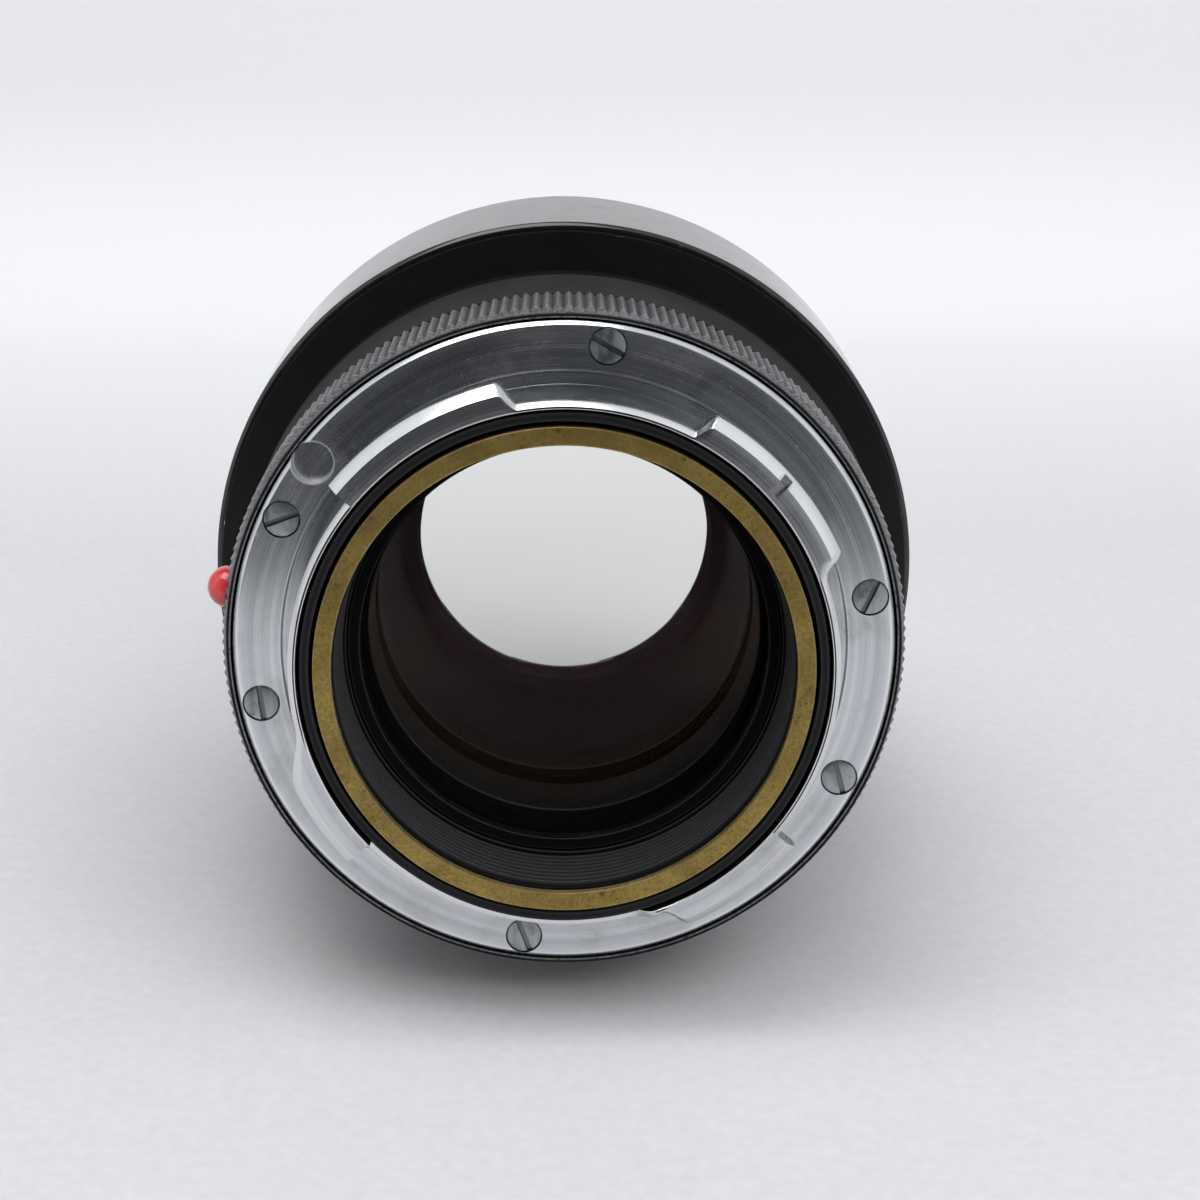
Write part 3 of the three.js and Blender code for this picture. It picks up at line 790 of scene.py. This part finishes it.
def mount_ring():
    """The knurled ring behind the barrel: straight V teeth that run out over the rear bevel."""
    teeth, depth = 200, 0.36 * MM
    tip = KNURL_TIP_R
    knurl_front = FLANGE_Y + 8.6 * MM
    inner, rim = 25.4 * MM, 25.58 * MM

    def shape(r, y, degrees):
        if r < inner or y > knurl_front:
            return r, 0.0
        height = wave(degrees, teeth)
        limit = tip - depth * (1.0 - height)
        on_bevel = y < FLANGE_Y + 1.5 * MM
        if r > limit:
            return limit, 0.1 + 0.8 * height**3
        if r < rim:
            return r, 0.0
        return r, 0.55 if on_bevel else 0.1 + 0.9 * height**3

    turned("mount_ring", KNURL, 0.12 * MM, 0.35 * MM, teeth * 6, shape, sharp=60)


def index_bead():
    low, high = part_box("index_bead")
    centre = (low + high) / 2
    t = math.radians(INDEX_ANGLE - 0.2)
    out = Vector((math.cos(t), 0, math.sin(t)))
    radius = (high.y - low.y) / 2
    bm = bmesh.new()
    bmesh.ops.create_uvsphere(bm, u_segments=48, v_segments=32, radius=radius)
    bmesh.ops.scale(bm, verts=bm.verts, vec=(1, 1, 0.96))
    obj = tool_object(bm)
    obj.name = obj.data.name = "index_bead_fine"
    middle = out * KNURL_TIP_R
    turn = out.to_track_quat("Z", "Y").to_matrix().to_4x4()
    obj.data.transform(Matrix.Translation((middle.x, centre.y, middle.z)) @ turn)
    obj.data.polygons.foreach_set("use_smooth", [True] * len(obj.data.polygons))
    placed(obj, "index_bead", RED)


bayonet_flange()
for number, (screw_place, slot_direction) in enumerate(SCREWS, 1):
    flange_screw(number, screw_place, slot_direction)
mount_ring()
index_bead()
turned("rear_sleeve", MATT)


# ---- scales: generic numbers and lines, laid on the turned surfaces ----
def numeral(name, text, size, radius_at, degrees, y, material, node):
    """A short number bent round the lens, standing 0.02 mm proud of the surface, its top to the front."""
    curve = bpy.data.curves.new(name, "FONT")
    curve.body = text
    curve.size = size
    curve.align_x = "CENTER"
    curve.align_y = "CENTER"
    curve.offset = size * 0.006
    curve.resolution_u = 3
    text_obj = bpy.data.objects.new(name, curve)
    scene.collection.objects.link(text_obj)
    bpy.context.view_layer.update()
    flat = bpy.data.meshes.new_from_object(text_obj.evaluated_get(bpy.context.evaluated_depsgraph_get()))
    bpy.data.objects.remove(text_obj)
    bm = bmesh.new()
    bm.from_mesh(flat)
    bmesh.ops.remove_doubles(bm, verts=bm.verts, dist=size * 1e-4)
    solid = bmesh.ops.extrude_face_region(bm, geom=bm.faces[:])
    lifted = [v for v in solid["geom"] if isinstance(v, bmesh.types.BMVert)]
    for v in lifted:
        v.co.z = 1.0
    for v in bm.verts:
        proud = (0.025 if v.co.z > 0.5 else -0.03) * MM
        here = y + v.co.y
        r = radius_at(here) + proud
        angle = math.radians(degrees) - v.co.x / r
        v.co = Vector((r * math.cos(angle), here, r * math.sin(angle)))
    bmesh.ops.recalc_face_normals(bm, faces=bm.faces)
    mesh = bpy.data.meshes.new(name)
    bm.to_mesh(mesh)
    bm.free()
    return finish_mark(name, mesh, material, node)


def finish_mark(name, mesh, material, node):
    obj = bpy.data.objects.new(name, mesh)
    scene.collection.objects.link(obj)
    mesh.materials.clear()
    mesh.materials.append(material)
    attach(obj, nodes[node]["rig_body"])
    return obj


def mark_line(name, width, rear, front, radius_at, degrees, material, node):
    """A filled engraved line along the axis, a hair proud of the surface."""
    steps = 6
    verts = []
    for i in range(steps + 1):
        y = rear + (front - rear) * i / steps
        for side in (-0.5, 0.5):
            for lift in (-0.03, 0.02):
                r = radius_at(y) + lift * MM
                angle = math.radians(degrees) + side * width / r
                verts.append((r * math.cos(angle), y, r * math.sin(angle)))
    faces = [(0, 1, 3, 2), tuple(steps * 4 + k for k in (0, 2, 3, 1))]
    ring = [0, 1, 3, 2]
    for i in range(steps):
        for a, b in zip(ring, ring[1:] + ring[:1]):
            faces.append((i * 4 + a, (i + 1) * 4 + a, (i + 1) * 4 + b, i * 4 + b))
    mesh = bpy.data.meshes.new(name)
    mesh.from_pydata(verts, [], faces)
    mesh.update()
    bm = bmesh.new()
    bm.from_mesh(mesh)
    bmesh.ops.recalc_face_normals(bm, faces=bm.faces)
    bm.to_mesh(mesh)
    bm.free()
    return finish_mark(name, mesh, material, node)


def cone(node, at=90.02):
    """The outside radius of a turned CAD node at any y."""
    loop = section(node, at)
    outer = loop + loop[:1]

    def radius_at(y):
        best = 0.0
        for (ra, ya), (rb, yb) in zip(outer, outer[1:]):
            if min(ya, yb) <= y <= max(ya, yb) and ya != yb:
                best = max(best, ra + (rb - ra) * (y - ya) / (yb - ya))
        return best

    return radius_at


# ---- focusing ring, depth scale ----
def focus_ring():
    """Smooth enamel band at the rear, and a fluted grip in front of it."""
    flutes, depth = 90, 0.42 * MM
    rear, front = FLANGE_Y + 42.9 * MM, FLANGE_Y + 50.0 * MM
    inner = 27.5 * MM

    def shape(r, y, degrees):
        if r < inner or not rear <= y <= front:
            return r, 0.0
        end = min(1.0, (y - rear) / (0.5 * MM), (front - y) / (0.5 * MM))
        height = min(1.0, wave(degrees, flutes) * 1.7)
        return r - depth * end * (1.0 - height), 0.9 if height > 0.98 else 0.0

    turned("focus_ring", GLOSS_ENAMEL, 0.14 * MM, 0.5 * MM, flutes * 8, shape)


def scales():
    """Distances in metres and feet on the focusing ring, stops on the aperture ring, and index lines."""
    focus = cone("focus_ring")
    depth = cone("depth_scale_ring")
    aperture = cone("aperture_ring")
    start = FLANGE_Y + 24.9 * MM
    for text in ["1", "1.2", "1.5", "2", "3", "5", "10"]:
        distance = float(text)
        place = INDEX_ANGLE + FOCUS_TURN * (1.0 / distance)
        y = FLANGE_Y + 32.4 * MM
        name = "distance_" + text.replace(".", "_")
        numeral(name, text, 2.5 * MM, focus, place, y, WHITE_PAINT, "focus_ring")
        feet = str(round(distance * FEET_PER_METRE))
        y += 4.6 * MM
        numeral("feet_" + feet, feet, 2.1 * MM, focus, place, y, AMBER_PAINT, "focus_ring")
        mark_line(name + "_line", 0.16 * MM, start, start + 1.6 * MM, focus, place, WHITE_PAINT, "focus_ring")
    front = start + 3.2 * MM
    mark_line("infinity_line", 0.2 * MM, start, front, focus, INDEX_ANGLE, WHITE_PAINT, "focus_ring")
    y = FLANGE_Y + 23.05 * MM
    mark_line("focus_index", 0.28 * MM, y, y + 0.7 * MM, depth, INDEX_ANGLE, WHITE_PAINT, "depth_scale_ring")
    for i, stop in enumerate(["2", "2.8", "4", "5.6", "8", "11", "16"]):
        place = INDEX_ANGLE + APERTURE_TURN * i / 6
        y = FLANGE_Y + 58.6 * MM
        name = "stop_" + stop.replace(".", "_")
        numeral(name, stop, 1.7 * MM, aperture, place, y, WHITE_PAINT, "aperture_ring")
    barrel = cone("head_barrel", 0.02)
    y = FLANGE_Y + 52.53 * MM
    mark_line("aperture_index", 0.3 * MM, y, y + 0.44 * MM, barrel, INDEX_ANGLE, WHITE_PAINT, "head_barrel")


def depth_scale_ring():
    turned("depth_scale_ring", SHOULDER, 0.14 * MM, 0.7 * MM)


focus_ring()
depth_scale_ring()


# ---- rangefinder cam ring and baffle ----
def rear_baffle():
    """Fine stepped ribs down the inside that stop stray light."""
    low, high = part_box("rear_baffle")
    pitch, groove = 0.68 * MM, 0.26 * MM
    loop = section("rear_baffle")
    outer = max(r for r, _ in loop)
    rear_bore = max(r for r, y in loop if y < low.y + 0.1 * MM and r < outer - 0.1 * MM)
    front_bore = min(r for r, _ in loop)
    points = [(outer, low.y), (outer, high.y)]
    count = int((high.y - low.y) / pitch)
    for i in range(count):
        y = high.y - i * pitch
        bore = front_bore + (rear_bore - front_bore) * i / count
        points += [
            (bore, y),
            (bore, y - 0.2 * MM),
            (bore + groove, y - 0.26 * MM),
            (bore + groove, y - pitch + 0.04 * MM),
        ]
    points.append((rear_bore, low.y))
    # The rib edges get full edge values, which the ribbed black paints as highlight lines.
    edges = [0.0] * 2 + [1.0, 1.0, 0.0, 0.0] * count + [0.0]
    placed(revolved("rear_baffle_fine", points, edges), "rear_baffle", RIBS)


turned("rangefinder_cam_ring", BRASS, 0.07 * MM, turns=320)
rear_baffle()


# ---- optical head ----
def element(node, material):
    """A lens element with smooth spherical faces and a ground, blackened-looking edge bevel."""
    points = coordinates(node)
    radius = np.hypot(points[:, 0], points[:, 2])
    edge_r = float(radius.max())
    middle_y = points[radius < 1e-6][:, 1]
    edge_y = points[radius > edge_r - 1e-6][:, 1]
    steps = 24
    outline = []
    for i in range(steps + 1):
        r = edge_r * 0.99 * i / steps
        outline.append((r, float(edge_y.min() + (middle_y.min() - edge_y.min()) * (1 - (r / edge_r) ** 2))))
    outline.append((edge_r, float(edge_y.min()) + 0.12 * MM))
    outline.append((edge_r, float(edge_y.max()) - 0.12 * MM))
    for i in range(steps, -1, -1):
        r = edge_r * 0.99 * i / steps
        outline.append((r, float(edge_y.max() + (middle_y.max() - edge_y.max()) * (1 - (r / edge_r) ** 2))))
    placed(revolved_solid(node + "_fine", outline, 160, edge_r * 0.97), node, material)


def head_barrel():
    """The head's outer barrel, with the filter thread cut inside its front."""
    pitch = 0.75 * MM
    start, end = FLANGE_Y + 69.5 * MM, FLANGE_Y + 73.6 * MM
    bore, outer = 23.9 * MM, 24.4 * MM

    def shape(r, y, degrees):
        if start < y < end and r < outer:
            phase = ((y - start) / pitch + degrees / 360.0) % 1.0
            return bore + 0.32 * MM * (1.0 - abs(2.0 * phase - 1.0)), 0.15
        return r, 0.0

    turned("head_barrel", ENAMEL, 0.1 * MM, 0.12 * MM, 128, shape, at=0.02, sharp=50)


def iris_blade(index):
    """A thin blued crescent, with the CAD blade's own arc and level."""
    node = f"iris_blade_{index}"
    points = coordinates(node)
    radius = np.hypot(points[:, 0], points[:, 2])
    start = 36.0 * (index - 1) - 4.0  # the blade's heel lies 4 degrees behind its pivot
    span = 78.0
    inner, outer = float(radius.min()), float(radius.max())
    low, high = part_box(node)
    steps, n = 40, 4
    verts = []
    for i in range(steps + 1):
        t = math.radians(start + span * i / steps)
        for r, y in ((inner, low.y), (outer, low.y), (outer, high.y), (inner, high.y)):
            verts.append((r * math.cos(t), y, r * math.sin(t)))
    faces = []
    for i in range(steps):
        for j in range(n):
            k = (j + 1) % n
            faces.append((i * n + j, i * n + k, (i + 1) * n + k, (i + 1) * n + j))
    faces.append(tuple(range(n)))
    faces.append(tuple(steps * n + j for j in reversed(range(n))))
    placed(mesh_object(node + "_fine", verts, faces, [0.0] * len(verts)), node, BLADE)


turned("rear_cell", SHADED_BLACK, 0.05 * MM)
turned("rear_retaining_ring", SHADED_BLACK, 0.04 * MM)
turned("iris_housing", MATT, 0.06 * MM)
turned("front_cell", MATT, 0.1 * MM)
turned("front_retaining_ring", MATT, 0.1 * MM)
turned("front_trim_ring", ENAMEL, 0.1 * MM)
turned("rear_spacer", SHADED_BLACK, 0.08 * MM)
turned("inner_spacer", SHADED_BLACK, 0.08 * MM)
head_barrel()
element("rear_element", AMBER_GLASS)
element("middle_element", PURPLE_GLASS)
element("negative_element", PURPLE_GLASS)
element("second_element", PURPLE_GLASS)
element("front_element", BLUE_GLASS)
for blade in range(1, 11):
    iris_blade(blade)


# ---- aperture ring and hood ----
def aperture_ring():
    teeth, depth = 150, 0.3 * MM
    rear, front = FLANGE_Y + 53.9 * MM, FLANGE_Y + 56.9 * MM
    inner = 26.9 * MM

    def shape(r, y, degrees):
        if r < inner or not rear <= y <= front:
            return r, 0.0
        end = min(1.0, (y - rear) / (0.3 * MM), (front - y) / (0.3 * MM))
        height = wave(degrees, teeth)
        return r - depth * end * (1.0 - height), 0.9 if height > 0.6 else 0.0

    turned("aperture_ring", ENAMEL, 0.1 * MM, 0.3 * MM, teeth * 6, shape)


def hood_rim():
    """The hood's front rim, with a narrow band of fine grip lines."""
    teeth, depth = 180, 0.14 * MM
    rear, front = FLANGE_Y + 74.9 * MM, FLANGE_Y + 76.3 * MM
    inner = 25.6 * MM

    def shape(r, y, degrees):
        if r < inner or not rear <= y <= front:
            return r, 0.0
        height = wave(degrees, teeth)
        return r - depth * (1.0 - height), 0.5 if height > 0.7 else 0.0

    turned("hood_rim", ENAMEL, 0.1 * MM, 0.3 * MM, teeth * 6, shape)


aperture_ring()
turned("hood_tube", ENAMEL, 0.14 * MM, 1.2 * MM)
hood_rim()
scales()

# ---- CAD pieces that keep their own shape ----
for node, material in {
    "main_barrel": MATT,
    "guide_key": STEEL,
    "drive_helicoid": HELICOID,
    "cam_drive_tube": HELICOID,
    "head_carrier": HELICOID,
    "iris_drive_ring": HELICOID,
    "click_spring": STEEL,
    "click_ball": STEEL,
}.items():
    nodes[node].data.materials.clear()
    nodes[node].data.materials.append(material)


# ---- floor, light and camera ----
# Brightness of the room against the direction looked in: across, from left (-1) to right (1), and along the
# axis, from behind the camera (-1) to behind the lens (1). The brighter of the two counts.
ROOM_ACROSS = [(-0.99, 0.5), (-0.76, 0.45), (-0.32, 0.045), (0.1, 0.045), (0.5, 0.65), (0.99, 0.6)]
ROOM_ALONG = [(-0.99, 0.0), (-0.52, 0.0), (-0.3, 1.1), (0.08, 1.1), (0.24, 0.0), (0.99, 0.0)]
KEY_WATTS, FILL_WATTS, WALL_GLOW = 3.0, 7.5, 0.05


def stage():
    """A pale floor that sweeps up into a wall behind the lens."""
    floor_z = cad_low.z
    wall_y, bend = 0.34, 0.05
    height, half_width, near = 0.5, 0.9, -0.17
    profile = [(near, 0.0), (wall_y - bend, 0.0)]
    for i in range(1, 17):
        t = math.pi / 2 * i / 16
        profile.append((wall_y - bend + bend * math.sin(t), bend - bend * math.cos(t)))
    profile.append((wall_y, height))
    verts = [(x, y, floor_z + z) for y, z in profile for x in (-half_width, half_width)]
    faces = [(2 * i, 2 * i + 1, 2 * i + 3, 2 * i + 2) for i in range(len(profile) - 1)]
    sweep = mesh_object("floor", verts, faces)
    p = Paint("pale_floor")
    speckle = p.noise(900, detail=3.0)
    floor = p.mixed(speckle, (0.50, 0.50, 0.515), (0.60, 0.60, 0.61))
    upright = p.between(p.axes()[1], 0.12, 0.33)
    colour = p.mixed(upright, floor, (0.70, 0.70, 0.71))
    shader = p.surface(colour, 0.85, 0.0, p.bump(speckle, 0.05 * MM, 0.4))
    shader.inputs["Emission Color"].default_value = (0.97, 0.97, 1.0, 1.0)
    p.feed(shader.inputs["Emission Strength"], p.math("MULTIPLY", upright, WALL_GLOW))
    sweep.data.materials.append(p.material)


def softbox(name, place, target, size, watts, mirrored=True):
    data = bpy.data.lights.new(name, "AREA")
    data.shape = "RECTANGLE"
    data.size, data.size_y = size
    data.energy = watts
    obj = bpy.data.objects.new(name, data)
    scene.collection.objects.link(obj)
    obj.location = place
    obj.rotation_euler = (Vector(target) - Vector(place)).to_track_quat("-Z", "Y").to_euler()
    obj.visible_glossy = mirrored


def lights():
    """A dim room with bright sides and top, one soft key overhead, and a broad fill behind the camera."""
    world = bpy.data.worlds.new("studio")
    scene.world = world
    world.use_nodes = True
    tree = world.node_tree
    background = tree.nodes["Background"]
    direction = tree.nodes.new("ShaderNodeTexCoord").outputs["Generated"]
    split = tree.nodes.new("ShaderNodeSeparateXYZ")
    tree.links.new(direction, split.inputs[0])
    levels = []
    for axis, stops in ((0, ROOM_ACROSS), (1, ROOM_ALONG)):
        ramp_node = tree.nodes.new("ShaderNodeValToRGB")
        ramp = ramp_node.color_ramp
        ramp.interpolation = "EASE"
        for place, value in stops:
            ramp.elements.new((place + 1) / 2).color = (value, value, value, 1.0)
        ramp.elements.remove(ramp.elements[0])
        ramp.elements.remove(ramp.elements[-1])
        place = tree.nodes.new("ShaderNodeMapRange")
        place.inputs["From Min"].default_value = -1.0
        tree.links.new(split.outputs[axis], place.inputs["Value"])
        tree.links.new(place.outputs[0], ramp_node.inputs[0])
        levels.append(ramp_node.outputs[0])
    brighter = tree.nodes.new("ShaderNodeMath")
    brighter.operation = "MAXIMUM"
    tree.links.new(levels[0], brighter.inputs[0])
    tree.links.new(levels[1], brighter.inputs[1])
    tree.links.new(brighter.outputs[0], background.inputs["Strength"])
    background.inputs["Color"].default_value = (0.94, 0.965, 1.0, 1.0)
    middle = (0.0, 0.0, 0.0)
    softbox("key_overhead", (-0.15, -0.22, 0.75), middle, (0.5, 0.5), KEY_WATTS)
    softbox("fill", (0.25, -0.75, 0.7), middle, (0.8, 0.6), FILL_WATTS, False)


def camera():
    """Behind the lens and above it, looking down at the bayonet, as the object was photographed."""
    distance = 0.1833
    yaw, pitch = math.radians(0.88), math.radians(15.2)
    forward = Vector((math.sin(yaw) * math.cos(pitch), math.cos(yaw) * math.cos(pitch), -math.sin(pitch)))
    aim = Vector((2.67 * MM, FLANGE_Y, 3.95 * MM))
    data = bpy.data.cameras.new("camera")
    data.lens = 73.14
    data.sensor_width = 36.0
    data.clip_start = 0.01
    obj = bpy.data.objects.new("camera", data)
    scene.collection.objects.link(obj)
    obj.location = aim - forward * distance
    obj.rotation_euler = forward.to_track_quat("-Z", "Y").to_euler()
    scene.camera = obj


stage()
lights()
camera()
scene.view_settings.view_transform = "Standard"
